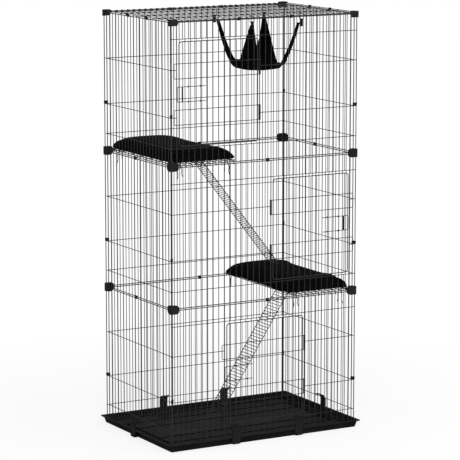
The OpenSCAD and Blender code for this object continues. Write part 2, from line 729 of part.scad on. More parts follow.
// Hammock corners on the top panel's wires: left back, right back, right front, left front
function hammock_x(i) = [15, 24, 23, 14][i] * front_pitch - cage_w / 2;
function hammock_y(i) = [84, 98, 36 - cage_d / 2, 15 - cage_d / 2][i];
function mix(a, b, t) = a + (b - a) * (t + 1) / 2;

// The cloth's height: a flat bed with a low rim, and legs that rise straight to the corners
leg_start = 0.44;
function leg(u, v) = max(0, (sqrt(abs(u * v)) - leg_start) / (1 - leg_start));
function cloth_z(u, v) = let (e = 1 - (1 - u * u) * (1 - v * v))
    top_wire_z - hammock_drop + hammock_rim * pow(max(0, e), 2.6)
    + (cloth_top - top_wire_z + hammock_drop - hammock_rim) * pow(leg(u, v), 1.25);
function cloth_fold(u, v) = 5 * pow(abs(u * v), 1.5) * (1 - pow(abs(u * v), 6))
    * cos(900 * (abs(u) - abs(v)));
function cloth_at(u, v) = let (
        p = u * (1 - 0.06 * (1 - v * v)), q = v * (1 - 0.06 * (1 - u * u)),
        xf = mix(hammock_x(3), hammock_x(2), p), xb = mix(hammock_x(0), hammock_x(1), p),
        yf = mix(hammock_y(3), hammock_y(2), p), yb = mix(hammock_y(0), hammock_y(1), p),
        f = cloth_fold(u, v))
    [mix(xf, xb, q) + f * sign(u) * 0.6, mix(yf, yb, q) + f * sign(v) * 0.8, cloth_z(u, v)];
function unit(v) = v / norm(v);
function cloth_normal(u, v) = let (d = 0.02, a = cloth_at(u + d, v) - cloth_at(u - d, v),
    b = cloth_at(u, v + d) - cloth_at(u, v - d)) unit(cross(a, b));

// The cloth's thick sheet hangs from its four gathered corners
module hammock_cloth() color(cloth_black) {
    n = 20;
    m = n - 1;
    grid = [for (i = [0 : n], j = [0 : n]) [2 * i / n - 1, 2 * j / n - 1]];
    top = [for (g = grid) cloth_at(g[0], g[1]) + cloth_normal(g[0], g[1]) * cloth_t / 2];
    low = [for (g = grid) cloth_at(g[0], g[1]) - cloth_normal(g[0], g[1]) * cloth_t / 2];
    w = n + 1;
    c = w * w;
    rim = [for (j = [0 : m]) each [[j, c + j, j + 1], [c + j, c + j + 1, j + 1]],
           for (j = [0 : m]) let (a = n * w + j)
               each [[a, a + 1, c + a], [c + a, a + 1, c + a + 1]],
           for (i = [0 : m]) let (a = i * w) each [[a, a + w, c + a], [c + a, a + w, c + a + w]],
           for (i = [0 : m]) let (a = i * w + n)
               each [[a, c + a, a + w], [c + a, c + a + w, a + w]]];
    faces = [for (i = [0 : m], j = [0 : m]) let (a = i * w + j) each [
        [a, a + 1, a + w + 1], [a, a + w + 1, a + w],
        [c + a, c + a + w + 1, c + a + 1], [c + a, c + a + w, c + a + w + 1]]];
    polyhedron(points = concat(top, low), faces = concat(faces, rim), convexity = 6);
}

// A closed wire hook over one of the top panel's wires
module hammock_hooks() color(wire_black)
    for (i = [0 : 3])
        translate([hammock_x(i) - hook_w / 2, hammock_y(i), hook_top - hook_l])
            wire_frame(hook_w, hook_l, 4, hook_wire);

// A strap: a sewn loop round the hook and a flat tail down to the cloth's corner
module hammock_straps() color(cloth_black)
    for (i = [0 : 3]) translate([hammock_x(i), hammock_y(i), hook_top - hook_l]) {
        rotate([0, 90, 0]) difference() {
            cylinder(r = loop_r, h = strap_w, center = true, $fn = round_fn);
            cylinder(r = hook_wire / 2 / cos(22.5) + fit, h = strap_w + 2, center = true,
                     $fn = round_fn);
        }
        translate([-strap_w / 2, -strap_t / 2, -loop_r - strap_l - strap_lap])
            cube([strap_w, strap_t, strap_l + strap_lap + strap_t / 2]);
    }

// Tie strings: routes of the two loose ends at a cushion's corner, from the corner outwards
// and down, in the corner's own axes
tie_a = [[0, 0, 7], [1, 1, -16], [5, 3, -34], [3, 4, -52], [8, 6, -70]];
tie_b = [[0, 0, 7], [-2, 1, -14], [-6, 3, -30], [-5, 2, -46], [-9, 4, -60]];
function ring_points(p, t, r) = let (a = unit(cross(t, [0, 1, 0])), b = cross(t, a))
    [for (k = [0 : 7]) p + r * (a * cos(45 * k) + b * sin(45 * k))];
module tie(route) {
    n = len(route) - 1;
    dir = [for (i = [0 : n]) unit(route[min(i + 1, n)] - route[max(i - 1, 0)])];
    rings = [for (i = [0 : n]) each ring_points(route[i], dir[i], tie_d / 2)];
    sides = [for (i = [0 : n - 1], k = [0 : 7]) let (a = 8 * i + k, b = 8 * i + (k + 1) % 8)
        each [[a, b, b + 8], [a, b + 8, a + 8]]];
    ends = [for (k = [1 : 6]) each [[0, k + 1, k], [8 * n, 8 * n + k, 8 * n + k + 1]]];
    polyhedron(points = rings, faces = concat(sides, ends), convexity = 4);
}
module cushion_ties(level, side) color(cloth_black)
    translate([0, 0, cage_lift + level * storey_h + cushion_z])
        for (i = [2, shelf_gaps - 1], sy = [-1, 1])
            translate([side * (cage_w / 2 - i * front_pitch), sy * (cage_d / 2 - tie_in), 0])
                mirror([side * (i - 3) > 0 ? 1 : 0, 0, 0]) mirror([0, sy > 0 ? 0 : 1, 0]) {
                    translate([5, 0, 0]) tie(tie_a);
                    translate([-5, 0, 0]) tie(tie_b);
                }

latch_wire_front = -(tray_y - front_y + wire_off);
latch_wire_side = -(tray_x - side_x - wire_off);
lower_foot = field_h + fit;
upper_foot = cage_lift + storey_h + cushion_z + cushion_t + fit;

base_tray();
bottom_corner_caps();
corner_joints(1);  // lower_corner_joints
corner_joints(2);  // upper_corner_joints
top_corner_caps();
corner_clips();
joint_clips();
top_clips();
front_panel(0, lower_col);  // lower_front_panel
front_panel(1, middle_col);  // middle_front_panel
front_panel(2, upper_col);  // upper_front_panel
back_panel(0);  // lower_back_panel
back_panel(1);  // middle_back_panel
back_panel(2);  // upper_back_panel
side_panel(0, -1);  // lower_left_panel
side_panel(1, -1);  // middle_left_panel
side_panel(2, -1);  // upper_left_panel
side_panel(0, 1);  // lower_right_panel
side_panel(1, 1);  // middle_right_panel
side_panel(2, 1);  // upper_right_panel
top_panel();
door(0, lower_col, -1);  // lower_door
door(1, middle_col, 1);  // middle_door
door(2, upper_col, -1);  // upper_door
sleeves(0, lower_col, -1);  // lower_door_sleeves
sleeves(1, middle_col, 1);  // middle_door_sleeves
sleeves(2, upper_col, -1);  // upper_door_sleeves
bolt(0, lower_col, -1);  // lower_door_bolt
bolt(1, middle_col, 1);  // middle_door_bolt
bolt(2, upper_col, -1);  // upper_door_bolt
grip(0, lower_col, -1);  // lower_bolt_grip
grip(1, middle_col, 1);  // middle_bolt_grip
grip(2, upper_col, -1);  // upper_bolt_grip
shelf(1, 1);  // lower_shelf
shelf(2, -1);  // upper_shelf
cushion(1, 1);  // lower_cushion
cushion(2, -1);  // upper_cushion
cushion_ties(1, 1);  // lower_cushion_ties
cushion_ties(2, -1);  // upper_cushion_ties
ladder(1, 1, lower_ladder_y, lower_run, lower_foot);  // lower_ladder
ladder(2, -1, ladder_y, upper_run, upper_foot);  // upper_ladder
hammock_cloth();
hammock_straps();
hammock_hooks();
tray_latch(0, latch_wire_front);  // tray_latch_front_left
tray_latch(1, latch_wire_front);  // tray_latch_front_right
tray_latch(2, latch_wire_front);  // tray_latch_back_left
tray_latch(3, latch_wire_front);  // tray_latch_back_right
tray_latch(4, latch_wire_side);  // tray_latch_left
tray_latch(5, latch_wire_side);  // tray_latch_right
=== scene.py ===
# Looks of the three-storey wire cage for cats: round powder-coated wires, moulded black
# plastic, stuffed cushions with tie strings, and a cloth hammock hung by four straps.
# Everything is in metres, in the CAD's frame: +Z up, the doors face -Y.
import math

import bmesh
import bpy
from mathutils import Matrix, Vector, noise


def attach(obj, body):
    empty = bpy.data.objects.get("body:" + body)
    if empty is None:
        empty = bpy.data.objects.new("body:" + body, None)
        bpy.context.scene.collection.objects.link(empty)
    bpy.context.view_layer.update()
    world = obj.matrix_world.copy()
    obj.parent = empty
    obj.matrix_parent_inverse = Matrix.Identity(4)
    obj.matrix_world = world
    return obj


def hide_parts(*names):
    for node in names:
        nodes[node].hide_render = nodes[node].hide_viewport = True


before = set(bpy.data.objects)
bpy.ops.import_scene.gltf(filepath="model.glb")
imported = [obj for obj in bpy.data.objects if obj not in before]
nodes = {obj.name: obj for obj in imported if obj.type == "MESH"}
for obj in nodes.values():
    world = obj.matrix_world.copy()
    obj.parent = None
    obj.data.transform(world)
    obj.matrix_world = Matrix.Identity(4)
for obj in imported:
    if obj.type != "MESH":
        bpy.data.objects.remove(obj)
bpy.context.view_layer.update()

MM = 0.001

# Driving sizes, the same as the CAD's
CAGE_W = 900 * MM
CAGE_D = 600 * MM
STOREY_H = 600 * MM
CAGE_LIFT = 7 * MM
FRONT_GAPS = 32
SIDE_GAPS = 21
DOOR_GAPS = 14
SHELF_GAPS = 11
WIRE_D = 3 * MM
RAIL_D = 4 * MM
WELD = 0.4 * MM
FIT = 0.3 * MM
PLAY = 0.35 * MM
RAIL_GAP = 7 * MM
SIDE_INSET = 8 * MM
LOW_WIRE_Z = 74 * MM
SECOND_WIRE_Z = 203 * MM
THIRD_WIRE_Z = 400 * MM
LINTEL_Z = 527 * MM
DOOR_MARGIN = 10.5 * MM
DOOR_CORNER_R = 12 * MM
HAIRPIN_H = 62 * MM
HAIRPIN_Z = [205 * MM, 396 * MM]
STOP_REACH = 14 * MM
BEND_R = 6 * MM
BOLT_Z = 299 * MM
BOLT_LEN = 134 * MM
BOLT_BACK = 5 * MM
BOLT_BAR_X = 24 * MM
EYE_WIRE = 2 * MM
EYE_GAPS = (2, 4)
GRIP_D = 6 * MM
LADDER_W = 100 * MM
RUNG_PITCH = 13.5 * MM
UPPER_RUN = 435 * MM
LOWER_RUN = 404 * MM
CUSHION_T = 51 * MM
CUSHION_SEAM = 2.5 * MM
CUSHION_OVER = 16.5 * MM
CUSHION_PULL = 2.5 * MM
CUSHION_CUT = 10 * MM
SLACK_H = 0.5 * MM
FIELD_H = 10 * MM
SHELF_OUT_IN = 20 * MM
SHELF_END_IN = 14 * MM
CUSHION_PAST_WIRE = 5.5 * MM
CUSHION_END_IN = 9.5 * MM
CUSHION_LIFT = 0.9 * MM
TOP_IN = 1 * MM
HOOK_WIRE = 2.5 * MM
HOOK_W = 20 * MM
HOOK_L = 26 * MM

# Sizes that follow from them
WIRE_R = WIRE_D / 2
RAIL_R = RAIL_D / 2
PITCH = CAGE_W / FRONT_GAPS
SIDE_W = CAGE_D - 2 * SIDE_INSET
SIDE_PITCH = SIDE_W / SIDE_GAPS
SIDE_X = CAGE_W / 2 - SIDE_INSET
FRONT_Y = CAGE_D / 2
WIRE_OFF = WIRE_D - WELD
RAIL_OFF = WIRE_R + RAIL_R - WELD
PANEL_LO = RAIL_GAP / 2 - RAIL_R
PANEL_HI = STOREY_H - PANEL_LO
DOOR_W = DOOR_GAPS * PITCH
DOOR_LO = LOW_WIRE_Z + DOOR_MARGIN
DOOR_HI = LINTEL_Z - DOOR_MARGIN
RING_R = RAIL_R + PLAY + WIRE_R
LEG_LINE = -RING_R
BAR_LINE = LEG_LINE + WIRE_OFF
BOLT_LINE = BAR_LINE + RAIL_R + PLAY + GRIP_D / 2
EYE_R = BOLT_LINE - BAR_LINE - WIRE_R + WELD - EYE_WIRE / 2
DOOR_COLUMNS = {"lower": 9, "middle": 17, "upper": 1}
DOOR_SIDES = {"lower": -1, "middle": 1, "upper": -1}
STOREYS = ["lower", "middle", "upper"]
DECK_Z = RAIL_GAP / 2 + RAIL_R + FIT + WIRE_R
DECK_TOP = DECK_Z + WIRE_OFF + WIRE_R
SHELF_OUT_X = CAGE_W / 2 - SHELF_OUT_IN
SHELF_IN_X = CAGE_W / 2 - SHELF_GAPS * PITCH
SHELF_END_Y = CAGE_D / 2 - SHELF_END_IN
CUSHION_OUT = SHELF_OUT_X + CUSHION_PAST_WIRE
CUSHION_IN = SHELF_IN_X - CUSHION_OVER
CUSHION_A = (CUSHION_OUT - CUSHION_IN) / 2
CUSHION_B = CAGE_D / 2 - CUSHION_END_IN
CUSHION_X = (CUSHION_OUT + CUSHION_IN) / 2
CUSHION_Z = DECK_TOP + CUSHION_LIFT
TOP_Z = CAGE_LIFT + 3 * STOREY_H
TOP_RAIL_Z = TOP_Z - PANEL_LO + FIT + RAIL_R
TOP_WIRE_Z = TOP_RAIL_Z + RAIL_OFF
HOOK_TOP = TOP_WIRE_Z + WIRE_R + FIT + HOOK_WIRE / 2


# Colours, nodes and materials

def linear(code):
    """An sRGB hex colour as a linear one."""
    parts = [int(code[i:i + 2], 16) / 255 for i in (1, 3, 5)]
    return (*[c / 12.92 if c <= 0.04045 else ((c + 0.055) / 1.055) ** 2.4 for c in parts], 1)


def add(tree, kind, settings=(), **links):
    """A node of that kind, with its settings, and its inputs linked or set by name."""
    made = tree.nodes.new(kind)
    for key, value in dict(settings).items():
        setattr(made, key, value)
    for key, value in links.items():
        socket = made.inputs[int(key[1:])] if key[0] == "i" and key[1:].isdigit() else \
            made.inputs[key.replace("_", " ")]
        if isinstance(value, bpy.types.NodeSocket):
            tree.links.new(value, socket)
        else:
            socket.default_value = value
    return made


def material(name):
    """An empty node material, its tree and its shader."""
    made = bpy.data.materials.new(name)
    made.use_nodes = True
    tree = made.node_tree
    return made, tree, tree.nodes["Principled BSDF"]


def mottle(tree, place, dark, pale, scale):
    """A soft drift between two colours, from noise on the piece's own coordinates."""
    cloud = add(tree, "ShaderNodeTexNoise", Vector=place, Scale=scale, Detail=3.0)
    ramp = add(tree, "ShaderNodeValToRGB", Fac=cloud.outputs["Fac"])
    ramp.color_ramp.elements[0].position = 0.35
    ramp.color_ramp.elements[1].position = 0.65
    ramp.color_ramp.elements[0].color = linear(dark)
    ramp.color_ramp.elements[1].color = linear(pale)
    return ramp.outputs["Color"]


def powder_coated_steel():
    """Steel wire, powder-coated black and baked: low satin, with a faint orange peel. The
    peel of about 0.4 mm is drawn at 1.2 mm, so that it shows on a 3 mm wire."""
    made, tree, shader = material("powder_coated_steel_wire")
    place = add(tree, "ShaderNodeTexCoord").outputs["Object"]
    shader.inputs["Roughness"].default_value = 0.55
    shader.inputs["Specular IOR Level"].default_value = 0.05
    tree.links.new(mottle(tree, place, "#222223", "#2a2a2b", 40), shader.inputs["Base Color"])
    peel = add(tree, "ShaderNodeTexNoise", Vector=place, Scale=1 / (1.2 * MM), Detail=1.0)
    bump = add(tree, "ShaderNodeBump", Height=peel.outputs["Fac"], Strength=0.12,
               Distance=0.15 * MM)
    tree.links.new(bump.outputs["Normal"], shader.inputs["Normal"])
    return made


def moulded_plastic(name, dark, pale, roughness, grain):
    """Moulded black plastic with a spark-eroded grain, which breaks its gloss up into an
    even, dull black. The grain of about 0.1 mm is drawn coarser, so that it shows."""
    made, tree, shader = material(name)
    place = add(tree, "ShaderNodeTexCoord").outputs["Object"]
    shader.inputs["Roughness"].default_value = roughness
    shader.inputs["IOR"].default_value = 1.49
    shader.inputs["Specular IOR Level"].default_value = 0.012
    tree.links.new(mottle(tree, place, dark, pale, 9), shader.inputs["Base Color"])
    pits = add(tree, "ShaderNodeTexNoise", Vector=place, Scale=1 / grain, Detail=2.0,
               Roughness=0.6)
    bump = add(tree, "ShaderNodeBump", Height=pits.outputs["Fac"], Strength=0.35,
               Distance=0.12 * MM)
    tree.links.new(bump.outputs["Normal"], shader.inputs["Normal"])
    return made


def woven_cloth(name, dark, pale, thread, roughness, sheen, crumple):
    """Plain-woven cloth: two crossed thread waves, hardly any sheen, and a slow crumple.
    Threads of about 0.4 mm are drawn thread wide, so that they show."""
    made, tree, shader = material(name)
    place = add(tree, "ShaderNodeTexCoord").outputs["Object"]
    shader.inputs["Roughness"].default_value = roughness
    shader.inputs["Sheen Weight"].default_value = sheen
    shader.inputs["Sheen Roughness"].default_value = 0.4
    shader.inputs["Specular IOR Level"].default_value = 0.003
    tree.links.new(mottle(tree, place, dark, pale, 14), shader.inputs["Base Color"])
    waves = []
    for way in ("X", "Y"):
        waves.append(add(tree, "ShaderNodeTexWave", {"bands_direction": way}, Vector=place,
                         Scale=math.pi / 10 / thread, Distortion=0.6,
                         Detail=1.0).outputs["Fac"])
    weave = add(tree, "ShaderNodeMath", {"operation": "MULTIPLY"}, i0=waves[0], i1=waves[1])
    fold = add(tree, "ShaderNodeTexNoise", Vector=place, Scale=1 / crumple, Detail=2.0)
    first = add(tree, "ShaderNodeBump", Height=fold.outputs["Fac"], Strength=0.3,
                Distance=1.5 * MM)
    second = add(tree, "ShaderNodeBump", Height=weave.outputs["Value"], Strength=0.3,
                 Distance=0.15 * MM, Normal=first.outputs["Normal"])
    tree.links.new(second.outputs["Normal"], shader.inputs["Normal"])
    return made


def twisted_cord():
    """Cord of three polyester strands, twisted once in 7 mm: a bump that winds round it."""
    made, tree, shader = material("twisted_polyester_cord")
    place = add(tree, "ShaderNodeTexCoord").outputs["Object"]
    shader.inputs["Roughness"].default_value = 0.7
    shader.inputs["Sheen Weight"].default_value = 0.02
    shader.inputs["Specular IOR Level"].default_value = 0.05
    tree.links.new(mottle(tree, place, "#060607", "#0d0d0e", 60), shader.inputs["Base Color"])
    lay = add(tree, "ShaderNodeAttribute", {"attribute_name": "lay"})
    parts = add(tree, "ShaderNodeSeparateXYZ", Vector=lay.outputs["Vector"])
    turn = add(tree, "ShaderNodeMath", {"operation": "ARCTAN2"},
               i0=parts.outputs["Y"], i1=parts.outputs["X"])
    strand = add(tree, "ShaderNodeMath", {"operation": "MULTIPLY"}, i0=turn.outputs[0], i1=3.0)
    wind = add(tree, "ShaderNodeMath", {"operation": "MULTIPLY_ADD"}, i0=parts.outputs["Z"],
               i1=3 * 2 * math.pi / (7 * MM), i2=strand.outputs[0])
    ridge = add(tree, "ShaderNodeMath", {"operation": "SINE"}, i0=wind.outputs[0])
    bump = add(tree, "ShaderNodeBump", Height=ridge.outputs[0], Strength=0.7,
               Distance=0.25 * MM)
    tree.links.new(bump.outputs["Normal"], shader.inputs["Normal"])
    return made


STEEL = powder_coated_steel()
TRAY_PLASTIC = moulded_plastic("moulded_polypropylene_tray", "#111111", "#181818",
                               roughness=0.62, grain=0.9 * MM)
FITTING_PLASTIC = moulded_plastic("moulded_nylon_fittings", "#181818", "#1f1f1f",
                                  roughness=0.55, grain=0.7 * MM)
CUSHION_CLOTH = woven_cloth("woven_polyester_cushion", "#060607", "#0b0b0c",
                            thread=1.0 * MM, roughness=0.8, sheen=0.003, crumple=30 * MM)
HAMMOCK_CLOTH = woven_cloth("woven_canvas_hammock", "#060607", "#0c0c0d",
                            thread=1.1 * MM, roughness=0.85, sheen=0.003, crumple=20 * MM)
WEBBING = woven_cloth("woven_strap_webbing", "#0b0b0c", "#131315",
                      thread=1.4 * MM, roughness=0.75, sheen=0.02, crumple=9 * MM)
CORD = twisted_cord()


# Camera: the photograph's angle, from the cage's left front and a little above its roof.
# The photograph keeps its uprights parallel, which a camera without shift can't quite do.
# Its place and focal length were fitted to points measured in the photograph.

def aim_camera():
    """The camera, in pixels of the photograph's frame of 460."""
    camera = bpy.data.cameras.new("camera")
    holder = bpy.data.objects.new("camera", camera)
    bpy.context.scene.collection.objects.link(holder)
    bpy.context.scene.camera = holder
    yaw, pitch = math.radians(29.599), math.radians(9.6224)
    focal_px, frame_px = 2522.5, 460
    camera.sensor_fit = "AUTO"
    camera.sensor_width = 36
    camera.lens = focal_px / frame_px * camera.sensor_width
    camera.clip_start, camera.clip_end = 0.5, 60
    holder.location = (-5.3174, -9.3609, 2.6898)
    holder.rotation_euler = (math.pi / 2 - pitch, 0, -yaw)


aim_camera()


# Laying wire: one ring of points is carried along a path of points

def rounded(points, radius, steps=4):
    """The path with each inner corner turned into an arc of that radius."""
    points = [Vector(p) for p in points]
    path = [points[0]]
    for before, corner, after in zip(points, points[1:], points[2:]):
        a, b = (before - corner).normalized(), (after - corner).normalized()
        half = a.angle(b) / 2
        reach = radius / math.tan(half)
        middle = corner + (a + b).normalized() * (radius / math.sin(half))
        start, end = corner + a * reach - middle, corner + b * reach - middle
        for i in range(steps + 1):
            path.append(middle + start.slerp(end, i / steps) * radius)
    return path + [points[-1]]


def rounded_ring(points, radius, steps=4):
    """The same for a closed path."""
    middle = (Vector(points[0]) + Vector(points[-1])) / 2
    return rounded([middle, *points, middle], radius, steps)[:-1]


def circle_path(centre, axis, radius, start, turn, steps):
    """Points on an arc about an axis of the row frame, by degrees."""
    first, second = {"x": ((0, 1, 0), (0, 0, 1)), "z": ((1, 0, 0), (0, 1, 0))}[axis]
    found = []
    for i in range(steps + 1):
        a = math.radians(start + turn * i / steps)
        found.append(Vector(centre) + radius * (math.cos(a) * Vector(first)
                                                + math.sin(a) * Vector(second)))
    return found


def lay_wire(mesh, path, diameter, closed=False, sides=10):
    """Sweeps a round wire along the path and closes its ends. Each point keeps its turn round
    the wire and its way along it, for the twist of a cord."""
    path = [Vector(p) for p in path]
    count = len(path)
    ways = []
    for i in range(count):
        if closed:
            ways.append((path[(i + 1) % count] - path[i - 1]).normalized())
        else:
            ways.append((path[min(i + 1, count - 1)] - path[max(i - 1, 0)]).normalized())
    up = Vector((0, 0, 1)) if abs(ways[0].z) < 0.9 else Vector((0, 1, 0))
    rings = []
    lay = mesh.verts.layers.float_vector.get("lay") or mesh.verts.layers.float_vector.new("lay")
    along = 0
    side = ways[0].cross(up).normalized()
    for i, (point, way) in enumerate(zip(path, ways)):
        if i:
            side = (side - way * side.dot(way)).normalized()
            along += (point - path[i - 1]).length
        bend = 1.0
        if closed or 0 < i < count - 1:
            bend = 1 / max(0.7, math.cos((path[(i + 1) % count] - point).angle(
                point - path[i - 1]) / 2))
        turned = Matrix((side, way.cross(side), way)).transposed().to_4x4()
        ring = bmesh.ops.create_circle(mesh, segments=sides, radius=diameter / 2 * bend ** 0.5,
                                       matrix=Matrix.Translation(point) @ turned)["verts"]
        for k, v in enumerate(ring):
            turn = 2 * math.pi * k / sides
            v[lay] = (math.cos(turn), math.sin(turn), along)
        rings.append(ring)
    pairs = list(zip(rings, rings[1:])) + ([(rings[-1], rings[0])] if closed else [])
    for low, high in pairs:
        edges = [e for ring in (low, high) for e in set(e for v in ring for e in v.link_edges)
                 if e.verts[0] in ring and e.verts[1] in ring]
        bmesh.ops.bridge_loops(mesh, edges=edges)
    if not closed:
        for ring in (rings[0], rings[-1]):
            bmesh.ops.contextual_create(mesh, geom=ring)


def finish_piece(name, mesh, finish, body, replaced=(), smooth=40):
    """Turns the bmesh into a piece that rides on a body and replaces CAD nodes."""
    bmesh.ops.recalc_face_normals(mesh, faces=mesh.faces)
    data = bpy.data.meshes.new(name)
    mesh.to_mesh(data)
    mesh.free()
    data.materials.append(finish)
    data.polygons.foreach_set("use_smooth", [True] * len(data.polygons))
    data.set_sharp_from_angle(angle=math.radians(smooth))
    piece = bpy.data.objects.new(name, data)
    bpy.context.scene.collection.objects.link(piece)
    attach(piece, body)
    if replaced:
        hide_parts(*replaced)
    return piece


def wire_piece(name, wires, body="cage", node=None):
    """A welded piece from its wires, each a path, a diameter and whether it is closed."""
    mesh = bmesh.new()
    for path, diameter, closed in wires:
        lay_wire(mesh, path, diameter, closed)
    return finish_piece(name, mesh, STEEL, body, [node or name])


def moved(matrix, wires):
    """The wires with their paths mapped by a matrix."""
    return [([matrix @ Vector(p) for p in path], d, closed) for path, d, closed in wires]


def straight(a, b, diameter=WIRE_D):
    """A straight wire, in the form that wire_piece takes."""
    return ([a, b], diameter, False)


# Tie strings: two loose ends at each corner of a cushion, along the CAD's route

TIE_D = 3 * MM
TIE_IN = 32 * MM
TIE_COLUMNS = {"outer": (2, -1), "inner": (SHELF_GAPS - 1, 1)}
TIE_ROUTES = {
    "long": (5, [(0, 0, 7), (1, 1, -16), (5, 3, -34), (3, 4, -52), (8, 6, -70)]),
    "short": (-5, [(0, 0, 7), (-2, 1, -14), (-6, 3, -30), (-5, 2, -46), (-9, 4, -60)]),
}


def smooth_route(points, steps=5):
    """A smooth curve through the points, by Catmull and Rom's rule."""
    points = [Vector(p) for p in points]
    ends = [points[0] * 2 - points[1], *points, points[-1] * 2 - points[-2]]
    found = []
    for a, b, c, d in zip(ends, ends[1:], ends[2:], ends[3:]):
        for i in range(steps):
            t = i / steps
            found.append(0.5 * (2 * b + (c - a) * t + (2 * a - 5 * b + 4 * c - d) * t ** 2
                                + (3 * b - a - 3 * c + d) * t ** 3))
    return found + [points[-1]]


def tie_strings(storey, level, side):
    """A long and a short string under each corner of a storey's cushion."""
    for place, (column, across) in TIE_COLUMNS.items():
        for y in (-1, 1):
            corner = Vector((side * (CAGE_W / 2 - column * PITCH), y * (CAGE_D / 2 - TIE_IN),
                             CAGE_LIFT + level * STOREY_H + CUSHION_Z))
            flip = -1 if side * across > 0 else 1
            for kind, (shift, route) in TIE_ROUTES.items():
                points = [Vector((flip * (x + shift), y * out, z)) for x, out, z in route]
                path = smooth_route([corner + p * MM for p in points])
                mesh = bmesh.new()
                lay_wire(mesh, path, TIE_D, sides=8)
                end = "back" if y > 0 else "front"
                piece = finish_piece(f"{storey}_tie_{place}_{end}_{kind}", mesh, CORD, "cage",
                                     [f"{storey}_cushion_ties"])


tie_strings("lower", 1, 1)
tie_strings("upper", 2, -1)


# Wire panels

def uprights(width, gaps, skip=()):
    """A panel's uprights, stout at both edges."""
    wires = []
    for i in range(gaps + 1):
        if i in skip:
            continue
        x = -width / 2 + i * width / gaps
        wires.append(straight((x, 0, PANEL_LO), (x, 0, PANEL_HI),
                              RAIL_D if i in (0, gaps) else WIRE_D))
    return wires


def rails(width):
    """The stout cross wires along a panel's lower and upper edges."""
    ends = width / 2 + RAIL_R
    return [straight((-ends, RAIL_OFF, z), (ends, RAIL_OFF, z), RAIL_D)
            for z in (RAIL_GAP / 2, STOREY_H - RAIL_GAP / 2)]


def cross_wires(low_x, high_x, heights):
    """Thin wires across a panel, on the same side of it as its rails."""
    return [straight((low_x, WIRE_OFF, z), (high_x, WIRE_OFF, z)) for z in heights]


def plain_panel(width, gaps):
    """A back or side panel, with all its uprights whole."""
    ends = width / 2 + RAIL_R
    return uprights(width, gaps) + rails(width) + cross_wires(
        -ends, ends, (LOW_WIRE_Z, SECOND_WIRE_Z, THIRD_WIRE_Z))


def door_panel(column):
    """A front panel, whose uprights stop under and over the doorway."""
    last = column + DOOR_GAPS
    ends = CAGE_W / 2 + RAIL_R
    left_x = -CAGE_W / 2 + column * PITCH
    right_x = left_x + DOOR_W
    wires = uprights(CAGE_W, FRONT_GAPS, range(column, last + 1)) + rails(CAGE_W)
    for i in range(column, last + 1):
        x = -CAGE_W / 2 + i * PITCH
        if i in (column, last):
            wires.append(straight((x, 0, PANEL_LO), (x, 0, PANEL_HI), RAIL_D))
        else:
            wires.append(straight((x, 0, PANEL_LO), (x, 0, LOW_WIRE_Z + WIRE_R)))
            wires.append(straight((x, 0, LINTEL_Z - WIRE_R), (x, 0, PANEL_HI)))
    wires += cross_wires(-ends, ends, (LOW_WIRE_Z, LINTEL_Z))
    wires += cross_wires(-ends, left_x, (SECOND_WIRE_Z, THIRD_WIRE_Z))
    wires += cross_wires(right_x, ends, (SECOND_WIRE_Z, THIRD_WIRE_Z))
    return wires


def turned_to(x, y, z, degrees=0, mirrored=False):
    """A place: moved, turned about +Z, and mirrored along its own x if asked."""
    place = Matrix.Translation((x, y, z)) @ Matrix.Rotation(math.radians(degrees), 4, "Z")
    return place @ Matrix.Diagonal((-1, 1, 1, 1)) if mirrored else place


for level, storey in enumerate(STOREYS):
    base = CAGE_LIFT + level * STOREY_H
    wire_piece(f"{storey}_front_panel_wires", moved(
        turned_to(0, -FRONT_Y, base), door_panel(DOOR_COLUMNS[storey])),
        node=f"{storey}_front_panel")
    wire_piece(f"{storey}_back_panel_wires", moved(
        turned_to(0, FRONT_Y, base, 180), plain_panel(CAGE_W, FRONT_GAPS)),
        node=f"{storey}_back_panel")
    for side, word in ((-1, "left"), (1, "right")):
        wire_piece(f"{storey}_{word}_panel_wires", moved(
            turned_to(side * SIDE_X, 0, base, -90 * side), plain_panel(SIDE_W, SIDE_GAPS)),
            node=f"{storey}_{word}_panel")


def top_panel():
    """The roof: long wires front to back over two rails and three cross wires."""
    half = CAGE_D / 2 - TOP_IN
    ends = CAGE_W / 2 + WIRE_R
    wires = []
    for i in range(FRONT_GAPS + 1):
        x = -CAGE_W / 2 + i * PITCH
        wires.append(straight((x, -half - RAIL_R, TOP_WIRE_Z), (x, half + RAIL_R, TOP_WIRE_Z)))
    for y in (-half, half):
        wires.append(straight((-ends, y, TOP_RAIL_Z), (ends, y, TOP_RAIL_Z), RAIL_D))
    for y in (-half / 2, 0, half / 2):
        z = TOP_WIRE_Z - WIRE_OFF
        wires.append(straight((-ends, y, z), (ends, y, z)))
    return wires


wire_piece("top_panel_wires", top_panel(), node="top_panel")


# Doors, drawn from the hinge wire at x = 0 towards the free edge

def upright_ring(x0, x1, z0, z1, y, radius):
    """A closed rectangle with round corners in the XZ plane."""
    return rounded_ring([(x0, y, z0), (x1, y, z0), (x1, y, z1), (x0, y, z1)], radius, 5)


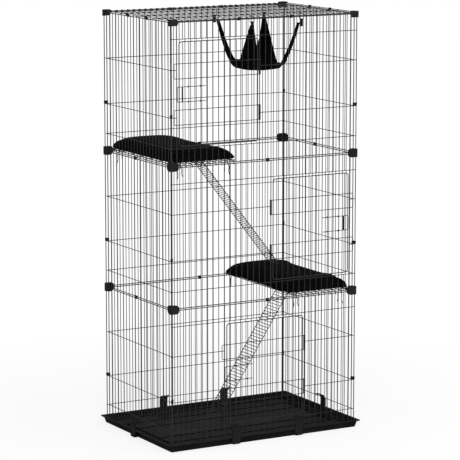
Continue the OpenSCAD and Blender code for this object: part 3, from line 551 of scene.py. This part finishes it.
def door_wires():
    """The door's grid: its frame, uprights, two hairpin bars that curl round the hinge wire,
    and four eyes for the bolt."""
    wires = [(upright_ring(DOOR_MARGIN, DOOR_W - DOOR_MARGIN, DOOR_LO, DOOR_HI, BAR_LINE,
                           DOOR_CORNER_R), RAIL_D, True)]
    for i in range(1, DOOR_GAPS):
        x = i * PITCH
        wires.append(straight((x, BAR_LINE, DOOR_LO), (x, BAR_LINE, DOOR_HI)))
    for middle in HAIRPIN_Z:
        low, high = middle - HAIRPIN_H / 2, middle + HAIRPIN_H / 2
        nose = DOOR_W + STOP_REACH
        curl = circle_path((0, 0, low), "z", RING_R, 0, 270, 12)
        legs = rounded([curl[-1], (nose, LEG_LINE, low), (nose, LEG_LINE, high),
                        (0, LEG_LINE, high)], BEND_R)
        back = circle_path((0, 0, high), "z", RING_R, 270, -270, 12)
        wires.append((curl + legs[1:-1] + back, WIRE_D, False))
    for i in EYE_GAPS:
        for z in (BOLT_Z - HAIRPIN_H / 2, BOLT_Z + HAIRPIN_H / 2):
            ring = circle_path((DOOR_W - i * PITCH, BOLT_LINE, z), "x", EYE_R, 0, 360, 16)
            wires.append((ring[:-1], EYE_WIRE, True))
    return wires


def bolt_wires():
    """A bolt drawn back: a flat loop open at its tail, and the bar that carries its grip."""
    nose = DOOR_W - BOLT_BACK
    low, high = BOLT_Z - HAIRPIN_H / 2, BOLT_Z + HAIRPIN_H / 2
    tail = nose - BOLT_LEN
    loop = rounded([(tail, BOLT_LINE, low), (nose, BOLT_LINE, low), (nose, BOLT_LINE, high),
                    (tail, BOLT_LINE, high)], BEND_R)
    bar = nose - BOLT_BAR_X
    return [(loop, WIRE_D, False), straight((bar, BOLT_LINE, low), (bar, BOLT_LINE, high))]


for level, storey in enumerate(STOREYS):
    column, side = DOOR_COLUMNS[storey], DOOR_SIDES[storey]
    hinge_x = -CAGE_W / 2 + (column + (DOOR_GAPS if side < 0 else 0)) * PITCH
    place = turned_to(hinge_x, -FRONT_Y, CAGE_LIFT + level * STOREY_H, 0, side < 0)
    wire_piece(f"{storey}_door_wires", moved(place, door_wires()), f"{storey}_door",
               f"{storey}_door")
    wire_piece(f"{storey}_bolt_wires", moved(place, bolt_wires()), f"{storey}_bolt",
               f"{storey}_door_bolt")


# Shelves and ladders

HOOK_BEND = 3.5 * MM
DECK_HOOK = 15 * MM
SIDE_HOOK = 8 * MM
SHELF_CROSS_GAPS = range(-9, 10, 3)
LOWER_LADDER_Y = -7.5 * SIDE_PITCH
UPPER_LADDER_Y = 4.5 * SIDE_PITCH
FIRST_RUNG = 10 * MM
LAST_RUNG_IN = 16 * MM
LADDER_HOOK_START, LADDER_HOOK_TURN, LADDER_HOOK_STEPS = 220, 130, 8


def shelf_wires():
    """A shelf on the left: its long wires hook over the front and back rails, its cross
    wires over the side panel's rail."""
    hook_y = FRONT_Y + RAIL_R + FIT + WIRE_R
    hook_x = SIDE_X + RAIL_OFF + RAIL_R + FIT + WIRE_R
    ends = SHELF_END_Y + WIRE_R
    wires = [straight((x, -ends, 0), (x, ends, 0), RAIL_D) for x in (-SHELF_OUT_X, -SHELF_IN_X)]
    for i in range(1, SHELF_GAPS):
        x = (i + 0.5) * PITCH - CAGE_W / 2
        wires.append((rounded([(x, -hook_y, -DECK_HOOK), (x, -hook_y, 0), (x, hook_y, 0),
                               (x, hook_y, -DECK_HOOK)], HOOK_BEND), WIRE_D, False))
    for y in (-SHELF_END_Y, SHELF_END_Y):
        wires.append(straight((-SHELF_OUT_X - RAIL_R, y, WIRE_OFF),
                              (-SHELF_IN_X + RAIL_R, y, WIRE_OFF)))
    for k in SHELF_CROSS_GAPS:
        y = k * SIDE_PITCH
        wires.append((rounded([(-SHELF_IN_X + RAIL_R, y, WIRE_OFF), (-hook_x, y, WIRE_OFF),
                               (-hook_x, y, WIRE_OFF - SIDE_HOOK)], HOOK_BEND), WIRE_D, False))
    return wires


def ladder_wires(length):
    """A ladder in its own frame: x down the slope, hooks round the shelf's edge wire."""
    side = LADDER_W / 2 - WIRE_R
    wires = []
    for y in (-side, side):
        hook = []
        for i in range(LADDER_HOOK_STEPS + 1):
            a = math.radians(LADDER_HOOK_START - LADDER_HOOK_TURN * i / LADDER_HOOK_STEPS)
            hook.append(Vector((RING_R * math.cos(a), y, RING_R * math.sin(a))))
        wires.append((hook + [Vector((length, y, RING_R))], WIRE_D, False))
    last = int((length - LAST_RUNG_IN) / RUNG_PITCH)
    places = [FIRST_RUNG + k * RUNG_PITCH for k in range(last + 1)] + [length - WIRE_R]
    for x in places:
        z = RING_R + WIRE_OFF
        wires.append(straight((x, -LADDER_W / 2, z), (x, LADDER_W / 2, z)))
    return wires


def hung_ladder(storey, level, side, y, run, foot_z):
    """A ladder that hangs on a shelf's inner edge wire and stands on foot_z."""
    top = CAGE_LIFT + level * STOREY_H + DECK_Z
    fall = top - foot_z
    length = math.hypot(run, fall)
    slope = math.atan2(fall, run) + math.asin((RING_R - WIRE_R - FIT) / length)
    place = turned_to(side * SHELF_IN_X, y, top, 0, side > 0) @ Matrix.Rotation(slope, 4, "Y")
    wire_piece(f"{storey}_ladder_wires", moved(place, ladder_wires(length)),
               f"{storey}_ladder", f"{storey}_ladder")


for storey, level, side in (("lower", 1, 1), ("upper", 2, -1)):
    place = turned_to(0, 0, CAGE_LIFT + level * STOREY_H + DECK_Z, 0, side > 0)
    wire_piece(f"{storey}_shelf_wires", moved(place, shelf_wires()), node=f"{storey}_shelf")

hung_ladder("lower", 1, 1, LOWER_LADDER_Y, LOWER_RUN, FIELD_H + FIT)
hung_ladder("upper", 2, -1, UPPER_LADDER_Y, UPPER_RUN,
            CAGE_LIFT + STOREY_H + CUSHION_Z + CUSHION_T + FIT)


# Hammock: hooks on the roof's wires, straps, and cloth gathered to its corners

HAMMOCK_COLUMNS = [15, 24, 23, 14]
HAMMOCK_YS = [84 * MM, 98 * MM, 36 * MM - CAGE_D / 2, 15 * MM - CAGE_D / 2]
HAMMOCK_XS = [c * PITCH - CAGE_W / 2 for c in HAMMOCK_COLUMNS]
HAMMOCK_DROP = 235 * MM
HAMMOCK_RIM = 18 * MM
RIM_TILT = 7 * MM
LEG_START = 0.44
LEG_END = 0.88
BED_TILT = 8 * MM
FRONT_GATHER = 0.5
SIDE_GATHER = 0.03
LEG_OUT = 5 * MM
PLEATS = 3
PLEAT_H = 6 * MM
SIDES_IN = 0.06
CLOTH_T = 2.4 * MM
CLOTH_CELLS = 88
HOOK_CORNER_R = 4 * MM
STRAP_L = 20 * MM
STRAP_LAP = 6 * MM
STRAP_T = 2 * MM
STRAP_W = 12 * MM
STRAP_TAIL = 12 * MM
LOOP_STEPS = 12
LOOP_R = HOOK_WIRE / 2 + FIT + STRAP_T
SEWN_ON = 14 * MM
CLOTH_TOP = HOOK_TOP - HOOK_L - LOOP_R - STRAP_L - STRAP_LAP + SEWN_ON

hooks = []
for x, y in zip(HAMMOCK_XS, HAMMOCK_YS):
    ring = upright_ring(x - HOOK_W / 2, x + HOOK_W / 2, HOOK_TOP - HOOK_L, HOOK_TOP, y,
                        HOOK_CORNER_R)
    hooks.append((ring, HOOK_WIRE, True))
wire_piece("hammock_hook_wires", hooks, node="hammock_hooks")


def mix(a, b, t):
    """From a to b as t goes from -1 to 1."""
    return a + (b - a) * (t + 1) / 2


def ease(t):
    """A smooth step from 0 to 1."""
    t = max(0, min(1, t))
    return t * t * (3 - 2 * t)


def cloth_point(u, v):
    """Where a point of the cloth hangs, for u and v from -1 to 1: a shallow bed with a low
    rim, and legs that rise ever more steeply to the corners, gathered in pleats."""
    s = abs(u * v)
    leg = max(0, (math.sqrt(s) - LEG_START) / (1 - LEG_START))
    middle, half = (abs(u) + abs(v)) / 2, (abs(u) - abs(v)) / 2
    half *= 1 - (FRONT_GATHER if half < 0 else SIDE_GATHER) * ease(leg / 0.6)
    p = math.copysign(middle + half, u) * (1 - SIDES_IN * (1 - v * v))
    q = math.copysign(middle - half, v) * (1 - SIDES_IN * (1 - u * u))
    x = mix(mix(HAMMOCK_XS[3], HAMMOCK_XS[2], p), mix(HAMMOCK_XS[0], HAMMOCK_XS[1], p), q)
    y = mix(mix(HAMMOCK_YS[3], HAMMOCK_YS[2], p), mix(HAMMOCK_YS[0], HAMMOCK_YS[1], p), q)
    edge = 1 - (1 - u * u) * (1 - v * v)
    low = TOP_WIRE_Z - HAMMOCK_DROP
    rim = HAMMOCK_RIM - RIM_TILT * u
    rise = min(1, leg / LEG_END)
    bed = 1 - edge ** 3
    z = low + BED_TILT * u * bed + rim * (1 - bed) + (CLOTH_TOP - low - rim) * rise ** 1.5
    turn = PLEATS * math.pi * (abs(u) - abs(v)) / max(0.02, 1 - s)
    fold = PLEAT_H * ease(leg / 0.4) * math.cos(turn)
    out = LEG_OUT * 4 * rise * (1 - rise)
    return Vector((x + math.copysign(0.6, u) * fold + math.copysign(out, u),
                   y + math.copysign(0.8, v) * fold, z))


def hammock():
    """The cloth, as one thick sheet."""
    mesh = bmesh.new()
    bmesh.ops.create_grid(mesh, x_segments=CLOTH_CELLS, y_segments=CLOTH_CELLS, size=1)
    for v in mesh.verts:
        v.co = cloth_point(*(math.sin(math.pi / 2 * max(-1, min(1, c))) for c in v.co.xy))
    area = sum(f.calc_area() for f in mesh.faces)
    piece = finish_piece("hammock_cloth_sheet", mesh, HAMMOCK_CLOTH, "cage",
                         ["hammock_cloth"], 180)
    thick = piece.modifiers.new("cloth", "SOLIDIFY")
    thick.thickness = CLOTH_T
    thick.offset = 0


def strap_loops():
    """Each strap is webbing sewn round its hook, with its tail on the cloth's corner."""
    mesh = bmesh.new()
    for x, y in zip(HAMMOCK_XS, HAMMOCK_YS):
        z = HOOK_TOP - HOOK_L
        middle_r = LOOP_R - STRAP_T / 2
        profile = [Vector((0, 0, -STRAP_L - STRAP_LAP - LOOP_R))]
        for i in range(LOOP_STEPS + 1):
            a = math.radians(-90 + 360 * i / LOOP_STEPS)
            profile.append(Vector((0, middle_r * math.cos(a), middle_r * math.sin(a))))
        profile.append(Vector((0, 0.6 * MM, -middle_r - STRAP_TAIL)))
        verts = [mesh.verts.new(p + Vector((x - STRAP_W / 2, y, z))) for p in profile]
        edges = [mesh.edges.new(pair) for pair in zip(verts, verts[1:])]
        swept = bmesh.ops.extrude_edge_only(mesh, edges=edges)["geom"]
        bmesh.ops.translate(mesh, verts=[g for g in swept if isinstance(g, bmesh.types.BMVert)],
                            vec=(STRAP_W, 0, 0))
    piece = finish_piece("hammock_straps_webbing", mesh, WEBBING, "cage",
                         ["hammock_straps"], 180)
    thick = piece.modifiers.new("webbing", "SOLIDIFY")
    thick.thickness = STRAP_T * 0.8
    thick.offset = 0


strap_loops()
hammock()


# Cushions: a stuffed cover, swollen by a short cloth simulation inside a welted seam

COVER_CELLS = (40, 72)
SEAM_DOUBLES = 0.4 * MM
SWELL_ROOM = 5 * MM
SWELL_CAP = 5 * MM
SWELL_FLOOR = 2 * MM
SWELL_PRESSURE = 4.0
SWELL_SPARE = 0.04
SINK_MAX = 1 * MM
VOXEL = 5.5 * MM
SEAM_BAND = 3.5 * MM
SEAM_REACH = 0.94
PIPING_D = 2.4 * MM
PIPING_STEPS = 24


def cushion_side(t):
    """How far a side stands in from the cushion's full size, at t from -1 to 1 along it."""
    return CUSHION_PULL * (1 - t * t) + CUSHION_CUT * t ** 10


def cushion_point(u, v, upper, thickness=CUSHION_T, outer=0):
    """A point of the cover: steep sides under a broad crown, and an underside that is flat
    where it lies on the shelf. The side next to the cage's wall is the fuller one: outer is
    that side's sign along u."""
    x = u * (CUSHION_A - cushion_side(v))
    y = v * (CUSHION_B - cushion_side(u))
    if upper:
        fullness = 3 + 3 * ease(u * outer)
        crown = max(0, (1 - abs(u) ** fullness) * (1 - v ** 10)) ** 0.4
        return Vector((x, y, CUSHION_SEAM + (thickness - CUSHION_SEAM) * crown))
    flat = max(0, (1 - u ** 8) * (1 - v ** 12)) ** 0.7
    return Vector((x, y, CUSHION_SEAM * (1 - flat)))


def swell(piece, held, pressure, spare, cap, floor, steps=20):
    """Fills a closed cover: the held points stay, the rest swell, none further than cap. The
    stuffing lets none sink by more than 1 mm, and those under the floor height not at all."""
    data = piece.data
    start = [v.co.copy() for v in data.vertices]
    group = piece.vertex_groups.new(name="seam")
    group.add([i for i, co in enumerate(start) if held(co)], 1.0, "REPLACE")
    cloth = piece.modifiers.new("swell", "CLOTH")
    rules = cloth.settings
    rules.quality = 6
    rules.vertex_group_mass = "seam"
    rules.use_pressure = True
    rules.uniform_pressure_force = pressure
    rules.shrink_min = -spare
    rules.tension_stiffness = rules.compression_stiffness = 12
    rules.bending_stiffness = 0.3
    rules.effector_weights.gravity = 0
    cloth.collision_settings.use_self_collision = False
    cloth.point_cache.frame_start, cloth.point_cache.frame_end = 1, steps
    for step in range(1, steps + 1):
        bpy.context.scene.frame_set(step)
    shown = piece.evaluated_get(bpy.context.evaluated_depsgraph_get())
    ends = [v.co.copy() for v in shown.data.vertices]
    piece.modifiers.remove(cloth)
    bpy.context.scene.frame_set(1)
    for v, a, b in zip(data.vertices, start, ends):
        way = b - a
        v.co = a + way * min(1, cap / max(way.length, 1e-9))
        v.co.z = max(v.co.z, a.z - (0 if a.z < floor else SINK_MAX))
    data.update()


def cushion(storey, level, side, seed):
    """A storey's cushion: the swollen cover and the piping along its seam."""
    mesh = bmesh.new()
    base = Vector((side * CUSHION_X, 0, CAGE_LIFT + level * STOREY_H + CUSHION_Z))
    for upper in (True, False):
        for v in bmesh.ops.create_grid(mesh, x_segments=COVER_CELLS[0],
                                       y_segments=COVER_CELLS[1], size=1)["verts"]:
            u, w = (math.sin(math.pi / 2 * max(-1, min(1, c))) for c in v.co.xy)
            v.co = cushion_point(u, w, upper, CUSHION_T - SWELL_ROOM, side)
            slack = noise.noise(Vector((u * 1.6, w * 2.6, seed)))
            v.co.z += SLACK_H * slack * (1 - max(abs(u), abs(w)) ** 8) if upper else 0
            v.co += base
    bmesh.ops.remove_doubles(mesh, verts=mesh.verts, dist=SEAM_DOUBLES)
    piece = finish_piece(f"{storey}_cushion_cover", mesh, CUSHION_CLOTH, "cage",
                         [f"{storey}_cushion"], 180)
    remesh = piece.modifiers.new("remesh", "REMESH")
    remesh.mode, remesh.voxel_size, remesh.use_smooth_shade = "VOXEL", VOXEL, True
    shown = piece.evaluated_get(bpy.context.evaluated_depsgraph_get())
    closed = bpy.data.meshes.new_from_object(shown)
    piece.modifiers.clear()
    piece.data = closed
    seam_z = base.z + CUSHION_SEAM

    def on_seam(co):
        local = co - base
        reach = max(abs(local.x) / CUSHION_A, abs(local.y) / CUSHION_B)
        return abs(co.z - seam_z) < SEAM_BAND and reach > SEAM_REACH

    swell(piece, on_seam, SWELL_PRESSURE, SWELL_SPARE, SWELL_CAP, seam_z + SWELL_FLOOR)
    for v in piece.data.vertices:
        v.co.z = min(v.co.z, base.z + CUSHION_T)
    smooth = piece.modifiers.new("smooth", "SUBSURF")
    smooth.levels = smooth.render_levels = 1
    seam = []
    for k in range(4):
        for i in range(1, PIPING_STEPS):
            t = 2 * i / PIPING_STEPS - 1
            u, w = [(t, -1), (1, t), (-t, 1), (-1, -t)][k]
            seam.append(piece.closest_point_on_mesh(base + cushion_point(u, w, True))[1])
    mesh = bmesh.new()
    lay_wire(mesh, seam, PIPING_D, closed=True, sides=8)
    finish_piece(f"{storey}_cushion_piping", mesh, WEBBING, "cage", (), 180)


cushion("lower", 1, 1, 3.0)
cushion("upper", 2, -1, 11.0)


# The CAD's own moulded pieces keep their shape and take their finish

for name, node in nodes.items():
    if node.hide_render:
        continue
    finish = TRAY_PLASTIC if name == "base_tray" else FITTING_PLASTIC
    node.data.materials.clear()
    node.data.materials.append(finish)


# Studio: white surroundings, a pale floor that keeps the shadow, and soft lamps

def white_world():
    world = bpy.data.worlds.new("studio")
    bpy.context.scene.world = world
    world.use_nodes = True
    tree = world.node_tree
    tree.nodes.clear()
    path = add(tree, "ShaderNodeLightPath")
    seen = add(tree, "ShaderNodeMath", {"operation": "MAXIMUM"},
               i0=path.outputs["Is Camera Ray"], i1=path.outputs["Is Transmission Ray"])
    seen = add(tree, "ShaderNodeMath", {"operation": "MAXIMUM"},
               i0=seen.outputs["Value"], i1=path.outputs["Is Glossy Ray"])
    light = add(tree, "ShaderNodeBackground", Color=(1, 1, 1, 1), Strength=0.4)
    shown = add(tree, "ShaderNodeBackground", Color=(1, 1, 1, 1), Strength=1.0)
    both = add(tree, "ShaderNodeMixShader", i0=seen.outputs["Value"],
               i1=light.outputs["Background"], i2=shown.outputs["Background"])
    add(tree, "ShaderNodeOutputWorld", Surface=both.outputs["Shader"])


def studio_floor():
    """Pale paper that shows the cage's shadow and fades to plain white away from it."""
    mesh = bmesh.new()
    bmesh.ops.create_grid(mesh, x_segments=1, y_segments=1, size=14)
    data = bpy.data.meshes.new("studio_floor")
    mesh.to_mesh(data)
    mesh.free()
    made, tree, shader = material("pale_studio_floor")
    shader.inputs["Base Color"].default_value = (0.95, 0.95, 0.95, 1)
    shader.inputs["Roughness"].default_value = 1.0
    shader.inputs["Specular IOR Level"].default_value = 0.0
    path = add(tree, "ShaderNodeLightPath")
    place = add(tree, "ShaderNodeTexCoord").outputs["Object"]
    away = add(tree, "ShaderNodeVectorMath", {"operation": "LENGTH"}, i0=place)
    white = add(tree, "ShaderNodeMapRange", Value=away.outputs["Value"], i1=0.8, i2=2.5,
                i3=0.78, i4=1.0)
    glow = add(tree, "ShaderNodeEmission", Color=(1, 1, 1, 1), Strength=1.02)
    seen = add(tree, "ShaderNodeMath", {"operation": "MULTIPLY"},
               i0=path.outputs["Is Camera Ray"], i1=white.outputs["Result"])
    both = add(tree, "ShaderNodeMixShader", i0=seen.outputs["Value"],
               i1=shader.outputs["BSDF"], i2=glow.outputs["Emission"])
    tree.links.new(both.outputs["Shader"], tree.nodes["Material Output"].inputs["Surface"])
    data.materials.append(made)
    floor = bpy.data.objects.new("studio_floor", data)
    bpy.context.scene.collection.objects.link(floor)


def lamp(name, place, size, watts):
    """A soft square lamp, aimed at the cage's middle."""
    light = bpy.data.lights.new(name, "AREA")
    light.size = size
    light.energy = watts
    holder = bpy.data.objects.new(name, light)
    bpy.context.scene.collection.objects.link(holder)
    holder.location = place
    aim = Vector((0, 0, 0.9)) - Vector(place)
    holder.rotation_euler = aim.to_track_quat("-Z", "Y").to_euler()


white_world()
studio_floor()
lamp("key", (-3.0, -5.0, 3.0), 2.5, 300)
lamp("fill", (4.2, -3.4, 2.2), 3.0, 110)
lamp("back", (1.5, 4.5, 3.4), 3.0, 40)

bpy.context.scene.view_settings.view_transform = "Standard"
